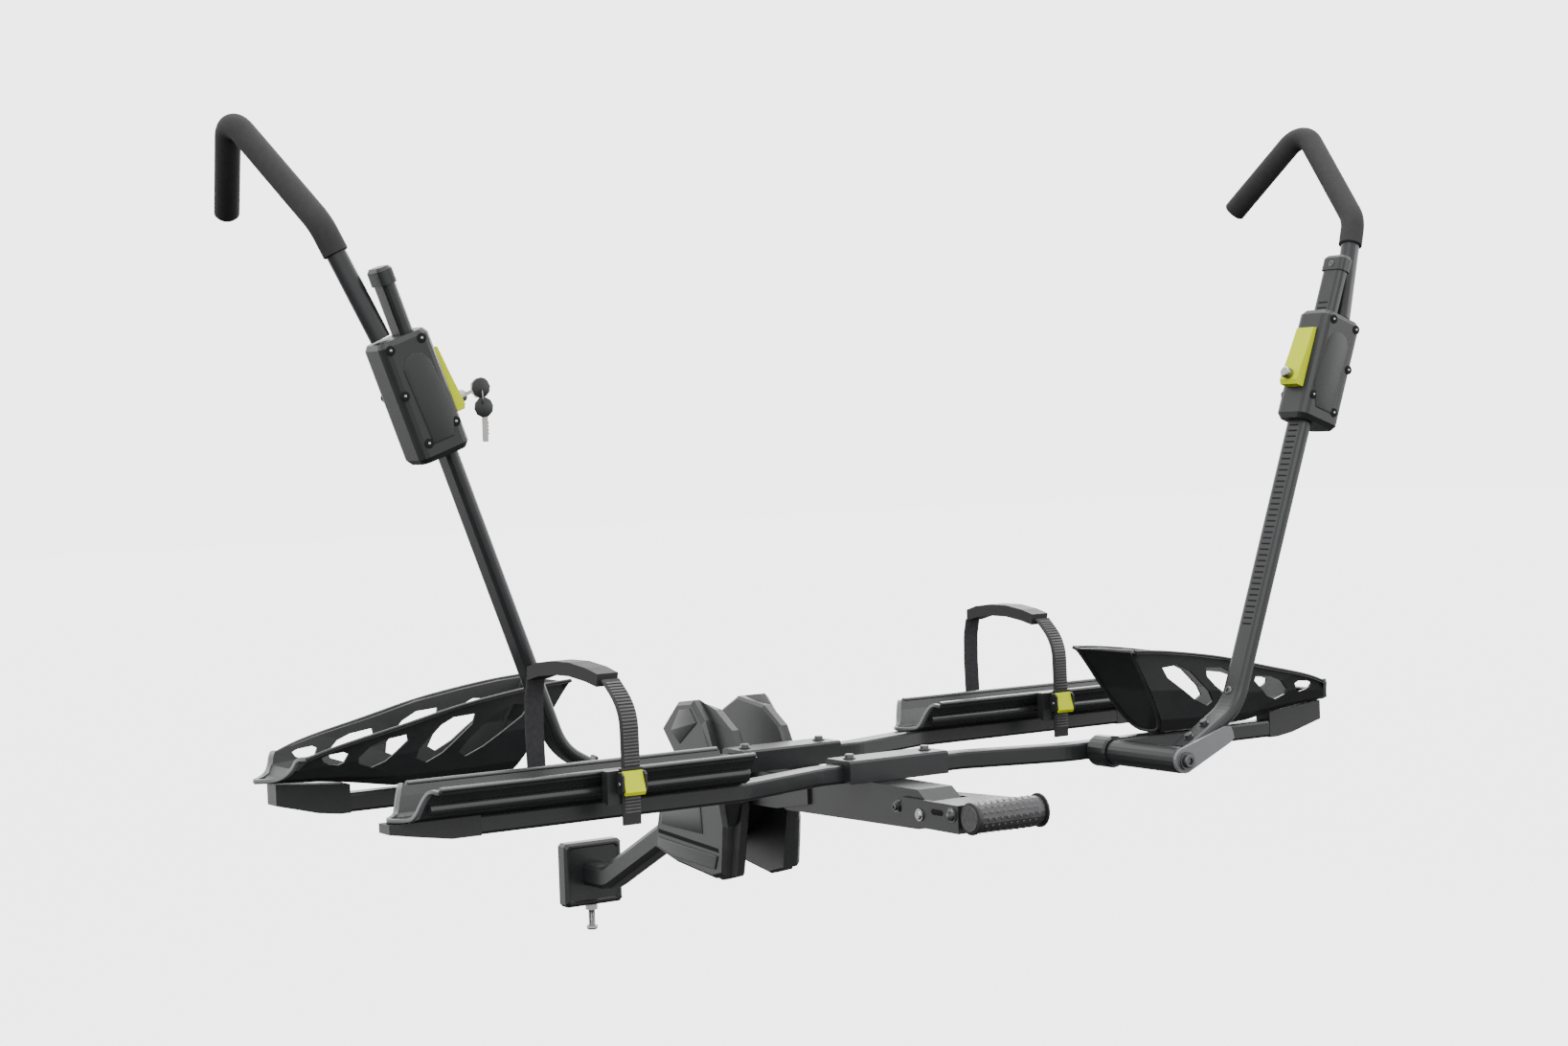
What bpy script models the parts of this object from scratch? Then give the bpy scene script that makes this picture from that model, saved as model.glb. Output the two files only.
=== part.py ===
"""Hitch mounted bike rack for two bikes, in metres, +Z up.

X runs along the two wheel beams, +Y points at the vehicle. Lengths below are
in the rack frame, whose zero is the top of the beams midway between them. The
finished pieces are shifted so that the centre of the hitch plate's vehicle
side is the origin.
"""

import math

import bmesh
import bpy
from mathutils import Matrix, Vector

GAP = 0.0003

# Beams and their fittings
BEAM_HALF = 0.650        # half of a steel beam's length
BEAM_SHIFT = 0.017       # front beam sits this far to +X, rear beam to -X
BEAM_W, BEAM_H = 0.028, 0.025
BEAM_Y_OUT = 0.153       # beam centre line under the trays
BEAM_Y_MID = 0.105       # beam centre line under the clamps
BEND_OUT, BEND_IN = 0.270, 0.120
CAP_LEN, BASKET_CAP_LEN = 0.122, 0.103
CLAMP_HALF, CLAMP_W = 0.082, 0.058
CLAMP_BOLT_X = 0.063

# Wheel trays and baskets
TRAY_RIM_X, TRAY_NOSE_X, TRAY_IN_X = -0.705, -0.752, -0.256
TRAY_HALF_W, TRAY_H = 0.050, 0.037
TRAY_STEP_X = 0.968      # rear tray sits this far to +X of the front one
BASKET_HALF_W = 0.068

# Arms, listed for the front right one
ARM_X, ARM_Z = 0.336, -0.0125
ARM_Y = -0.327
ARM_VERTEX = (0.446, 0.050)
ARM_TOP = (0.6655, 0.6505)
TUBE_T, TUBE_W = 0.018, 0.038
BARREL_R, BOSS_R = 0.018, 0.0225

# Spine, fold pivot and hitch
SPINE_HALF = 0.0285
PIVOT_Y, PIVOT_Z = 0.235, -0.060
SHROUD_IN, SHROUD_STEP, SHROUD_OUT = 0.0332, 0.0480, 0.0680
PLATE_Y, PLATE_Z = 0.725, -0.252

ORIGIN = Vector((0.0, PLATE_Y, PLATE_Z))


# Scene helpers

def clear_scene():
    for obj in list(bpy.data.objects):
        bpy.data.objects.remove(obj, do_unlink=True)


def new_collection(name):
    group = bpy.data.collections.new(name)
    bpy.context.scene.collection.children.link(group)
    return group


def material(name, colour, metallic, roughness):
    mat = bpy.data.materials.new(name)
    mat.use_nodes = True
    shader = mat.node_tree.nodes["Principled BSDF"]
    shader.inputs["Base Color"].default_value = (*colour, 1.0)
    shader.inputs["Metallic"].default_value = metallic
    shader.inputs["Roughness"].default_value = roughness
    mat.diffuse_color = (*colour, 1.0)
    return mat


def mesh_object(name, bm, mat, group):
    bmesh.ops.recalc_face_normals(bm, faces=bm.faces)
    if bm.calc_volume(signed=True) < 0:
        bmesh.ops.reverse_faces(bm, faces=bm.faces)
    bmesh.ops.translate(bm, verts=bm.verts, vec=-ORIGIN)
    mesh = bpy.data.meshes.new(name)
    bm.to_mesh(mesh)
    bm.free()
    obj = bpy.data.objects.new(name, mesh)
    if mat:
        mesh.materials.append(mat)
    group.objects.link(obj)
    return obj


def loft(loops, bm=None):
    """A closed solid through loops of equal length, with flat ends."""
    bm = bm or bmesh.new()
    rings = [[bm.verts.new(Vector(p)) for p in loop] for loop in loops]
    count = len(rings[0])
    for low, high in zip(rings, rings[1:]):
        for i in range(count):
            j = (i + 1) % count
            bm.faces.new((low[i], low[j], high[j], high[i]))
    bm.faces.new(list(reversed(rings[0])))
    bm.faces.new(rings[-1])
    return bm


def slab(outline, axis, low, high, bm=None):
    """An outline of pairs pushed along one axis; pairs hold the other two."""
    def place(pair, depth):
        values = list(pair)
        values.insert(axis, depth)
        return values
    return loft([[place(p, low) for p in outline], [place(p, high) for p in outline]], bm)


def round_box(half_a, half_b, radius, steps=2):
    """Outline of a rounded rectangle about zero."""
    points = []
    for k, (sa, sb) in enumerate(((1, 1), (-1, 1), (-1, -1), (1, -1))):
        for i in range(steps + 1):
            angle = math.radians(90 * k + 90 * i / steps)
            points.append((sa * (half_a - radius) + radius * math.cos(angle),
                           sb * (half_b - radius) + radius * math.sin(angle)))
    return points


def disc(radius, count, phase=0.0):
    return [(radius * math.cos(phase + 2 * math.pi * i / count),
             radius * math.sin(phase + 2 * math.pi * i / count)) for i in range(count)]


def lathe(start, axis, profile, count=16, bm=None):
    """Rings of (distance along the axis, radius), closed at both ends."""
    start, axis = Vector(start), Vector(axis).normalized()
    side = axis.orthogonal().normalized()
    up = axis.cross(side)
    ring = disc(1.0, count, math.pi / count)
    return loft([[start + axis * t + side * (r * a) + up * (r * b) for a, b in ring]
                 for t, r in profile], bm)


def rounded(points, radius, steps=4):
    """The path with its inner corners replaced by arcs."""
    points = [Vector(p) for p in points]
    radii = radius if isinstance(radius, (list, tuple)) else [radius] * len(points)
    path = [points[0]]
    for i in range(1, len(points) - 1):
        here = points[i]
        back = (points[i - 1] - here).normalized()
        ahead = (points[i + 1] - here).normalized()
        half = back.angle(ahead) / 2
        reach = radii[i] / math.tan(half)
        centre = here + (back + ahead).normalized() * (radii[i] / math.sin(half))
        first = here + back * reach - centre
        last = here + ahead * reach - centre
        turn = first.angle(last)
        for k in range(steps + 1):
            share = k / steps
            path.append(centre + (first * math.sin((1 - share) * turn)
                                  + last * math.sin(share * turn)) / math.sin(turn))
    path.append(points[-1])
    return path


def sweep(path, section, normal, bm=None):
    """Section pairs (across, along the normal) carried along a path. The
    normal is fixed for a flat path, or None for a round section in space."""
    path = [Vector(p) for p in path]
    loops, carried = [], None
    for i, point in enumerate(path):
        before = (point - path[i - 1]).normalized() if i else None
        after = (path[i + 1] - point).normalized() if i < len(path) - 1 else None
        tangent = ((before or after) + (after or before)).normalized()
        if normal is not None:
            out = Vector(normal)
        elif carried is None:
            out = tangent.orthogonal().normalized()
        else:
            out = (carried - tangent * carried.dot(tangent)).normalized()
        carried = out
        side = out.cross(tangent).normalized()
        loops.append([point + side * a + out * b for a, b in section])
    return loft(loops, bm)


def mirror_x(bm):
    bmesh.ops.scale(bm, vec=(-1, 1, 1), verts=bm.verts)
    return bm


def shift(bm, x=0.0, y=0.0, z=0.0):
    bmesh.ops.translate(bm, verts=bm.verts, vec=(x, y, z))
    return bm


def cut(obj, cutter_mesh, label, operation="DIFFERENCE"):
    """Takes the closed cutter away from the object, or joins it on."""
    cutter = mesh_object(f"cut_{obj.name}_{label}", cutter_mesh, None, CUTTERS)
    cutter.hide_render = True
    cutter.display_type = "WIRE"
    step = obj.modifiers.new(label, "BOOLEAN")
    step.operation = operation
    step.solver = "MANIFOLD"
    step.object = cutter


# Beams, clamps and end caps

def beam(sign):
    """The front beam for sign -1, the rear one for sign 1."""
    centre = -sign * BEAM_SHIFT
    zed = -BEAM_H / 2
    half = [(-BEAM_HALF, BEAM_Y_OUT), (-BEND_OUT, BEAM_Y_OUT), (-BEND_IN, BEAM_Y_MID),
            (BEND_IN, BEAM_Y_MID), (BEND_OUT, BEAM_Y_OUT), (BEAM_HALF, BEAM_Y_OUT)]
    path = rounded([(centre + x, sign * y, zed) for x, y in half], 0.08, 3)
    return sweep(path, round_box(BEAM_W / 2, BEAM_H / 2, 0.004, 2), (0, 0, 1))


def end_cap(sign, side, under_basket):
    """Plastic plug past a beam end, deeper under a basket than under a tray."""
    start = -sign * BEAM_SHIFT + side * (BEAM_HALF + GAP)
    if under_basket:
        outline = [(0.0, -0.0255), (0.0, 0.0122), (BASKET_CAP_LEN, 0.0212),
                   (BASKET_CAP_LEN, -0.0065), (0.045, -0.0215), (0.015, -0.0255)]
    else:
        outline = [(0.0, -0.0255), (0.0, -GAP), (CAP_LEN, -GAP), (CAP_LEN, -0.0120),
                   (0.088, -0.0180), (0.040, -0.0255)]
    outline = [(start + side * x, z) for x, z in outline]
    middle = sign * BEAM_Y_OUT
    return slab(outline, 1, middle - 0.0145, middle + 0.0145)


def clamp(sign):
    """Saddle over the beam, standing on the spine."""
    outer, inner = CLAMP_W / 2, BEAM_W / 2 + GAP
    foot, top, roof = -BEAM_H, 0.0062, 0.0004
    outline = [(-outer, foot), (-outer, top - 0.003), (-outer + 0.003, top),
               (outer - 0.003, top), (outer, top - 0.003), (outer, foot),
               (inner, foot), (inner, roof), (-inner, roof), (-inner, foot)]
    centre = -sign * BEAM_SHIFT
    bm = slab([(y + sign * BEAM_Y_MID, z) for y, z in outline], 0,
              centre - CLAMP_HALF, centre + CLAMP_HALF)
    return bm


def clamp_bolt(sign, side):
    base = (-sign * BEAM_SHIFT + side * CLAMP_BOLT_X, sign * BEAM_Y_MID, 0.0062 + GAP)
    return lathe(base, (0, 0, 1), [(0, 0.0090), (0.0014, 0.0090), (0.0015, 0.0066),
                                   (0.0052, 0.0062), (0.0062, 0.0050)], 12)


# Wheel trays and baskets

def tray_outline(half_w, height):
    """Half of a channel with rolled rims, as (distance out, height) pairs."""
    inner = [(0.0, 0.0), (0.40, 0.0), (0.56, 0.10), (0.70, 0.62), (0.84, 0.96), (1.0, 0.90)]
    return [(a * half_w, b * height) for a, b in inner]


def channel(xs, centre_y, shape_at, thick):
    """A thin channel along X. shape_at(x) gives its upper half outline."""
    loops = []
    for x in xs:
        half = shape_at(x)
        upper = [(-a, b) for a, b in reversed(half)] + half[1:]
        lower = []
        for i, (a, b) in enumerate(upper):
            before, after = upper[max(i - 1, 0)], upper[min(i + 1, len(upper) - 1)]
            da, db = after[0] - before[0], after[1] - before[1]
            size = math.hypot(da, db)
            lower.append((a + db / size * thick, b - da / size * thick))
        loops.append([(x, centre_y + a, b) for a, b in upper + lower[::-1]])
    return loft(loops)


def wheel_tray(rear):
    thick = 0.0030
    base = GAP + thick

    def shape(x):
        return [(a, b + base) for a, b in tray_outline(TRAY_HALF_W, TRAY_H)]

    xs = [TRAY_RIM_X, -0.60, -0.48, -0.36, TRAY_IN_X]
    bm = channel(xs, -BEAM_Y_OUT, shape, thick)
    bm.verts.ensure_lookup_table()
    # The nose: floor points run out past the rims in a V
    for v in bm.verts:
        if abs(v.co.x - TRAY_RIM_X) < 1e-6:
            out = abs(v.co.y + BEAM_Y_OUT) / TRAY_HALF_W
            v.co.x += (TRAY_NOSE_X - TRAY_RIM_X) * max(0.0, 1.0 - out)
    return shift(bm, TRAY_STEP_X, 2 * BEAM_Y_OUT) if rear else bm


# Basket stations, for the front right one: x at the floor, x at the rim, floor height,
# rim height, half width. The inner end leans, so that its rim reaches past its floor
BASKET = (
    (0.445, 0.365, 0.0045, 0.127, 0.068), (0.470, 0.410, 0.0040, 0.124, 0.068),
    (0.500, 0.465, 0.0040, 0.117, 0.068), (0.550, 0.535, 0.0050, 0.106, 0.067),
    (0.610, 0.605, 0.0075, 0.089, 0.065), (0.680, 0.680, 0.0190, 0.073, 0.062),
    (0.715, 0.715, 0.0230, 0.064, 0.058), (0.738, 0.742, 0.0265, 0.055, 0.052),
)
BASKET_NOSE_X = 0.795


def wheel_basket_solid():
    thick = 0.0035
    rows = {round(row[0], 4): row for row in BASKET}

    def shape(x):
        _, _, floor, rim, half = rows[round(x, 4)]
        rise = rim - floor
        return [(0.0, floor), (0.34 * half, floor + 0.02 * rise), (0.56 * half, floor + 0.16 * rise),
                (0.74 * half, floor + 0.52 * rise), (0.85 * half, floor + 0.98 * rise),
                (half, floor + rise)]

    bm = channel([row[0] for row in BASKET], -BEAM_Y_OUT, shape, thick)
    for v in bm.verts:
        x_floor, x_rim, floor, rim, half = rows[round(v.co.x, 4)]
        share = min(1.0, max(0.0, (v.co.z - floor) / (rim - floor)))
        v.co.x += share * (x_rim - x_floor)
        if x_floor == BASKET[-1][0]:
            out = abs(v.co.y + BEAM_Y_OUT) / half
            v.co.x += (BASKET_NOSE_X - x_floor) * max(0.0, 1.0 - out)
    bmesh.ops.triangulate(bm, faces=bm.faces)
    return bm


def basket_windows():
    """Slanted windows through both side walls, as one cutter."""
    bm = bmesh.new()
    windows = (((0.412, 0.098), (0.462, 0.102), (0.530, 0.046), (0.512, 0.034)),
               ((0.492, 0.094), (0.549, 0.090), (0.594, 0.044), (0.566, 0.031)),
               ((0.590, 0.076), (0.649, 0.068), (0.676, 0.044), (0.642, 0.032)),
               ((0.682, 0.060), (0.722, 0.056), (0.716, 0.046), (0.692, 0.041)))
    for window in windows:
        outline = []
        for i, corner in enumerate(window):
            corner = Vector(corner)
            for other in (window[i - 1], window[(i + 1) % 4]):
                outline.append(tuple(corner.lerp(Vector(other), 0.22)))
        slab(outline, 1, -BEAM_Y_OUT - 0.10, -BEAM_Y_OUT + 0.10, bm)
    return bm


def wheel_basket(name, rear):
    bm, windows = wheel_basket_solid(), basket_windows()
    for mesh in (bm, windows):
        if rear:
            shift(mirror_x(mesh), 0.0, 2 * BEAM_Y_OUT)
    bmesh.ops.recalc_face_normals(windows, faces=windows.faces)
    obj = mesh_object(name, bm, PLASTIC, PARTS)
    cut(obj, windows, "windows")


# Arms

TUBE_DIR = Vector((ARM_TOP[0] - ARM_VERTEX[0], 0, ARM_TOP[1] - ARM_VERTEX[1])).normalized()
TUBE_OUT = Vector((TUBE_DIR.z, 0, -TUBE_DIR.x))


def on_tube(height, out=0.0, across=0.0):
    """Point beside the arm's upright at this height, out from its axis."""
    base = Vector((ARM_VERTEX[0], ARM_Y + across, ARM_VERTEX[1]))
    return base + TUBE_DIR * ((height - ARM_VERTEX[1]) / TUBE_DIR.z) + TUBE_OUT * out


HOUSING_LOW, HOUSING_HIGH = on_tube(0.440), on_tube(0.590)
HOUSING_MID = (HOUSING_LOW + HOUSING_HIGH) / 2
HOUSING_LEN = (HOUSING_HIGH - HOUSING_LOW).length
HOUSING_IN, HOUSING_OUT, HOUSING_HALF_Y = -0.024, 0.048, 0.029


def in_housing(along, out, across=0.0):
    """Point in the slider housing's own directions, about its middle."""
    return HOUSING_MID + TUBE_DIR * along + TUBE_OUT * out + Vector((0, across, 0))


def place_arm(bm, rear):
    """A front arm piece stays; a rear one is its mirror image, one beam back."""
    return shift(mirror_x(bm), 0.0, 2 * BEAM_Y_OUT) if rear else bm


def arm_boss():
    face = -BEAM_Y_OUT - BEAM_W / 2 - GAP
    return lathe((ARM_X, face, ARM_Z), (0, -1, 0),
                 [(0, 0.0175), (0.004, BOSS_R), (0.036, BOSS_R), (0.040, 0.0205)], 20)


def arm_barrel():
    start = -BEAM_Y_OUT - BEAM_W / 2 - 0.0406 - GAP
    return lathe((ARM_X, start, ARM_Z), (0, -1, 0),
                 [(0, 0.0172), (0.0015, BARREL_R), (0.136, BARREL_R), (0.1385, 0.0165)], 20)


def arm_link():
    """Plate on the barrel's end that carries the pivot bolt."""
    face = -BEAM_Y_OUT - BEAM_W / 2 - 0.0406 - 0.1385 - 2 * GAP
    a = math.atan2(0.026, 0.078)
    outline = [(ARM_X + 0.0175 * math.cos(t), ARM_Z + 0.0175 * math.sin(t))
               for t in [a + math.radians(k) for k in range(90, 271, 20)]]
    far = Vector((ARM_X + 0.079, ARM_Z + 0.0285))
    for t, r in ((-90, 0.012), (-45, 0.0125), (0, 0.010), (45, 0.0125), (90, 0.012)):
        outline.append((far.x + r * math.cos(a + math.radians(t)),
                        far.y + r * math.sin(a + math.radians(t))))
    return slab(outline, 1, face - 0.005, face)


def arm_bolt():
    face = -BEAM_Y_OUT - BEAM_W / 2 - 0.0406 - 0.1385 - 0.004 - 2 * GAP
    return lathe((ARM_X, face, ARM_Z), (0, -1, 0),
                 [(0, 0.0118), (0.0032, 0.0118), (0.0033, 0.0080), (0.0072, 0.0074)], 16)


def pivot_link(name, rear):
    """The link plate with the bolt head standing on it."""
    obj = mesh_object(name, place_arm(arm_link(), rear), LINK_GREY, PARTS)
    head = place_arm(arm_bolt(), rear)
    bmesh.ops.recalc_face_normals(head, faces=head.faces)
    cut(obj, head, "bolt", "UNION")


def arm_tube():
    start = Vector((ARM_X, ARM_Y, ARM_Z))
    vertex = Vector((ARM_VERTEX[0], ARM_Y, ARM_VERTEX[1]))
    lead = (vertex - start).normalized()
    top = Vector((ARM_TOP[0], ARM_Y, ARM_TOP[1]))
    path = rounded([start + lead * (BARREL_R + 0.0012), vertex, top], 0.075, 7)
    return sweep(path, round_box(TUBE_T / 2, TUBE_W / 2, 0.0075, 3), (0, 1, 0))


def tube_cap():
    low = Vector((ARM_TOP[0], ARM_Y, ARM_TOP[1])) + TUBE_DIR * GAP
    loops = []
    for along, grow in ((0.0, 0.0016), (0.018, 0.0016), (0.0225, -0.0012)):
        loops.append([low + TUBE_DIR * along + TUBE_OUT * a + Vector((0, b, 0)) for a, b in
                      round_box(TUBE_T / 2 + grow, TUBE_W / 2 + grow, 0.0065, 3)])
    return loft(loops)


def housing_solid():
    mid = (HOUSING_IN + HOUSING_OUT) / 2
    half = (HOUSING_OUT - HOUSING_IN) / 2
    loops = []
    for along, grow in ((-0.5, -0.004), (-0.455, 0.0), (0.46, 0.0), (0.5, -0.0035)):
        loops.append([in_housing(along * HOUSING_LEN, mid + a, b) for a, b in
                      round_box(half + grow, HOUSING_HALF_Y + grow, 0.011, 3)])
    return loft(loops)


def housing_bore():
    room = 0.0006
    section = round_box(TUBE_T / 2 + room, TUBE_W / 2 + room, 0.0075, 3)
    return loft([[in_housing(along, a, b) for a, b in section] for along in (-0.12, 0.12)])


def slider_housing(name, rear):
    obj = mesh_object(name, place_arm(housing_solid(), rear), PLASTIC, PARTS)
    bore = place_arm(housing_bore(), rear)
    bmesh.ops.recalc_face_normals(bore, faces=bore.faces)
    cut(obj, bore, "bore")


def release_lever():
    """Wedge on the housing's inner face, hinged at its upper end."""
    face = HOUSING_IN - 0.0006
    outline = [(0.052, face), (0.050, face - 0.006), (0.010, face - 0.010),
               (-0.030, face - 0.015), (-0.036, face - 0.012), (-0.036, face)]
    loops = []
    for across in (-0.0165, 0.0165):
        loops.append([in_housing(along, out, across) for along, out in outline])
    return loft(loops)


def lock():
    start = in_housing(-0.022, HOUSING_IN - 0.0006 - 0.0156)
    return lathe(start, -TUBE_OUT, [(0, 0.0078), (0.0085, 0.0078), (0.0105, 0.0064)], 14)


def key():
    """Key standing in the lock, with its flat bow upright."""
    start = in_housing(-0.022, HOUSING_IN - 0.0006 - 0.0156 - 0.0105 - 0.0006)
    outline = [(0.0, -0.0022), (0.0, 0.0022), (0.010, 0.0022), (0.013, 0.0095),
               (0.019, 0.0125), (0.028, 0.0125), (0.034, 0.0085), (0.036, 0.0),
               (0.034, -0.0085), (0.028, -0.0125), (0.019, -0.0125), (0.013, -0.0095),
               (0.010, -0.0022)]
    return loft([[start - TUBE_OUT * out + TUBE_DIR * up + Vector((0, across, 0))
                  for out, up in outline] for across in (-0.0012, 0.0012)])


HOOK = (in_housing(HOUSING_LEN / 2 + 0.0036, 0.031), Vector((0.735, -0.297, 0.728)),
        Vector((0.789, -0.146, 0.877)), Vector((0.750, -0.031, 0.761)))
FOAM_START = 0.118       # length of bare rod above the housing


def hook_path():
    return rounded(HOOK, [0, 0.055, 0.030, 0], 7)


def split_path(path, length):
    """The path before and after this length along it."""
    walked = 0.0
    for i in range(1, len(path)):
        step = (path[i] - path[i - 1]).length
        if walked + step >= length:
            point = path[i - 1].lerp(path[i], (length - walked) / step)
            return path[:i] + [point], [point] + path[i:]
        walked += step
    return path, []


def hook_rod():
    return sweep(split_path(hook_path(), FOAM_START)[0], disc(0.009, 12), None)


def hook_foam():
    path = split_path(hook_path(), FOAM_START + GAP)[1]
    bm = sweep(path, disc(0.0135, 14), None)
    return bm


# Wheel straps, listed for the front one at its tray

STRAP_X = -0.465
STRAP_NEAR, STRAP_FAR = -0.0700, 0.0860
STRAP_LEAN = 0.30        # how far the loop leans outward, for each metre across


def strap_at(rear):
    """The rear strap stands this far from the front one."""
    return (2 * 0.465, 2 * BEAM_Y_OUT) if rear else (0.0, 0.0)


def place_strap(bm, rear):
    x, y = strap_at(rear)
    return shift(bm, x, y)


def strap_block():
    """Block outside the tray's rim that carries the buckle."""
    inner = TRAY_HALF_W + 0.0032
    outline = [(-inner, 0.004), (-inner, 0.042), (-0.0670, 0.042), (-0.0670, 0.000)]
    return slab([(a - BEAM_Y_OUT, b) for a, b in outline], 0, STRAP_X - 0.021, STRAP_X + 0.021)


def lean(bm):
    for v in bm.verts:
        v.co.x += 0.010 - STRAP_LEAN * (v.co.y + BEAM_Y_OUT - STRAP_NEAR)
    return bm


def strap_band(rear_half):
    """Ladder strap on the near side, webbing on the far side."""
    if rear_half:
        points = [(STRAP_FAR, 0.012), (0.0880, 0.085), (0.0870, 0.125), (0.0824, 0.150)]
        radius = [0, 0.10, 0.05, 0]
    else:
        points = [(STRAP_NEAR, -0.026), (STRAP_NEAR - 0.001, 0.050), (STRAP_NEAR, 0.118),
                  (-0.0425, 0.1520)]
        radius = [0, 0.12, 0.070, 0]
    path = rounded([(STRAP_X, a - BEAM_Y_OUT, b) for a, b in points], radius, 5)
    return lean(sweep(path, round_box(0.0020, 0.0128, 0.0012, 1), (1, 0, 0)))


def strap_pad():
    """Arched pad over the tyre, between the two legs of the strap."""
    upper = [(-0.0390, 0.1600), (-0.0200, 0.1670), (0.0080, 0.1730), (0.0380, 0.1740),
             (0.0620, 0.1710), (0.0790, 0.1650)]
    lower = [(0.0790, 0.1480), (0.0600, 0.1540), (0.0350, 0.1565), (0.0080, 0.1555),
             (-0.0180, 0.1500), (-0.0370, 0.1440)]
    outline = [(a - BEAM_Y_OUT, b) for a, b in upper + lower]
    return lean(slab(outline, 0, STRAP_X - 0.0150, STRAP_X + 0.0150))


def buckle_lever():
    outline = [(-0.0732, 0.040), (-0.0790, 0.042), (-0.0870, 0.016), (-0.0850, 0.012),
               (-0.0732, 0.016)]
    return slab([(a - BEAM_Y_OUT, b) for a, b in outline], 0, STRAP_X - 0.0060, STRAP_X + 0.0220)


# Spine, tilt handle, fold pivot and hitch

def spine_solid():
    outline = [(0.140, -0.0256), (-0.235, -0.0256), (-0.262, -0.044), (-0.268, -0.060),
               (-0.258, -0.074), (-0.235, -0.078), (0.082, -0.084), (0.112, -0.070), (0.140, -0.050)]
    return slab(outline, 0, -SPINE_HALF, SPINE_HALF)


def spine_hollow():
    outline = [(0.100, -0.0310), (-0.228, -0.0310), (-0.228, -0.10), (0.100, -0.10)]
    return slab(outline, 0, -SPINE_HALF + 0.0045, SPINE_HALF - 0.0045)


def pivot_cheek(side):
    """Plate on the spine's flank that reaches back to the fold pivot."""
    outline = [(0.020, -0.034), (0.020, -0.070), (0.100, -0.083)]
    outline += [(PIVOT_Y + 0.026 * math.cos(math.radians(t)),
                 PIVOT_Z + 0.026 * math.sin(math.radians(t))) for t in range(-105, 106, 30)]
    low, high = sorted((side * (SPINE_HALF + GAP), side * (SHROUD_IN - GAP)))
    return slab(outline, 0, low, high)


def shroud(side):
    """Moulded cover over one side of the fold pivot: a round inner half, a toothed outer one."""
    inner = [(0.180, -0.150), (0.172, -0.110), (0.163, -0.070), (0.164, -0.020), (0.188, 0.022),
             (0.232, 0.049), (0.303, 0.058), (0.348, 0.036), (0.342, -0.010), (0.345, -0.060),
             (0.370, -0.110), (0.384, -0.166), (0.330, -0.184), (0.228, -0.200), (0.188, -0.190)]
    outer = [(0.190, -0.150), (0.186, -0.118), (0.194, -0.080), (0.212, -0.022), (0.238, 0.034),
             (0.268, 0.062), (0.311, 0.057), (0.354, 0.019), (0.326, -0.012), (0.330, -0.060),
             (0.374, -0.112), (0.390, -0.168), (0.330, -0.183), (0.222, -0.195), (0.196, -0.188)]
    middle = Vector((0.262, -0.065))

    def ring(x, outline, shrink):
        loop = []
        for y, z in outline:
            d = Vector((y, z)) - middle
            d *= 1 - shrink / d.length
            loop.append((side * x, middle.x + d.x, middle.y + d.y))
        return loop

    return loft([ring(SHROUD_IN, inner, 0.004), ring(SHROUD_IN + 0.004, inner, 0.0),
                 ring(SHROUD_STEP, inner, 0.0), ring(SHROUD_STEP + 0.004, outer, 0.0),
                 ring(SHROUD_OUT - 0.006, outer, 0.0), ring(SHROUD_OUT, outer, 0.006)])


def pivot_block_solid():
    outline = [(PIVOT_Y + 0.046 * math.cos(math.radians(t)),
                PIVOT_Z + 0.046 * math.sin(math.radians(t))) for t in range(60, 241, 20)]
    outline += [(0.290, -0.150), (0.352, -0.170), (0.352, -0.095), (0.330, -0.060)]
    return slab(outline, 0, -SPINE_HALF + 0.0003, SPINE_HALF - 0.0003)


def pivot_bore(x_low, x_high):
    return lathe((x_low, PIVOT_Y, PIVOT_Z), (1, 0, 0), [(0, 0.0114), (x_high - x_low, 0.0114)], 16)


def pivot_pin():
    reach = SHROUD_OUT + 0.004
    return lathe((-reach, PIVOT_Y, PIVOT_Z), (1, 0, 0), [(0, 0.0108), (2 * reach, 0.0108)], 16)


def gooseneck():
    path = rounded([(0, 0.3526, -0.1325), (0, 0.395, -0.1325), (0, 0.640, -0.252),
                    (0, PLATE_Y - 0.0246, -0.2525)], [0, 0.10, 0.06, 0], 4)
    return sweep(path, round_box(0.0190, 0.0190, 0.008, 2), (1, 0, 0))


def hitch_plate():
    half_x, half_z = 0.0525, 0.0515
    loops = []
    for y, grow in ((PLATE_Y, -0.002), (PLATE_Y - 0.003, 0.0), (PLATE_Y - 0.022, 0.0),
                    (PLATE_Y - 0.026, -0.004), (PLATE_Y - 0.0262, -0.007), (PLATE_Y - 0.0240, -0.009)):
        loops.append([(a, y, PLATE_Z + b) for a, b in
                      round_box(half_x + grow, half_z + grow, 0.005, 1)])
    return loft(loops)


def hitch_bolt():
    """Bolt under the plate with its lock nut run up to the plate."""
    base = (0, PLATE_Y - 0.013, PLATE_Z - 0.0515 - GAP)
    return lathe(base, (0, 0, -1), [(0, 0.0098), (0.0085, 0.0098), (0.0086, 0.0050),
                                    (0.0345, 0.0050), (0.0346, 0.0090), (0.0385, 0.0092),
                                    (0.0410, 0.0075)], 12)


HANDLE_Y, HANDLE_Z = -0.246, -0.057
GRIP_Y, GRIP_Z = -0.352, -0.052
GRIP_X0, GRIP_X1 = -0.0335, 0.083


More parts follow.
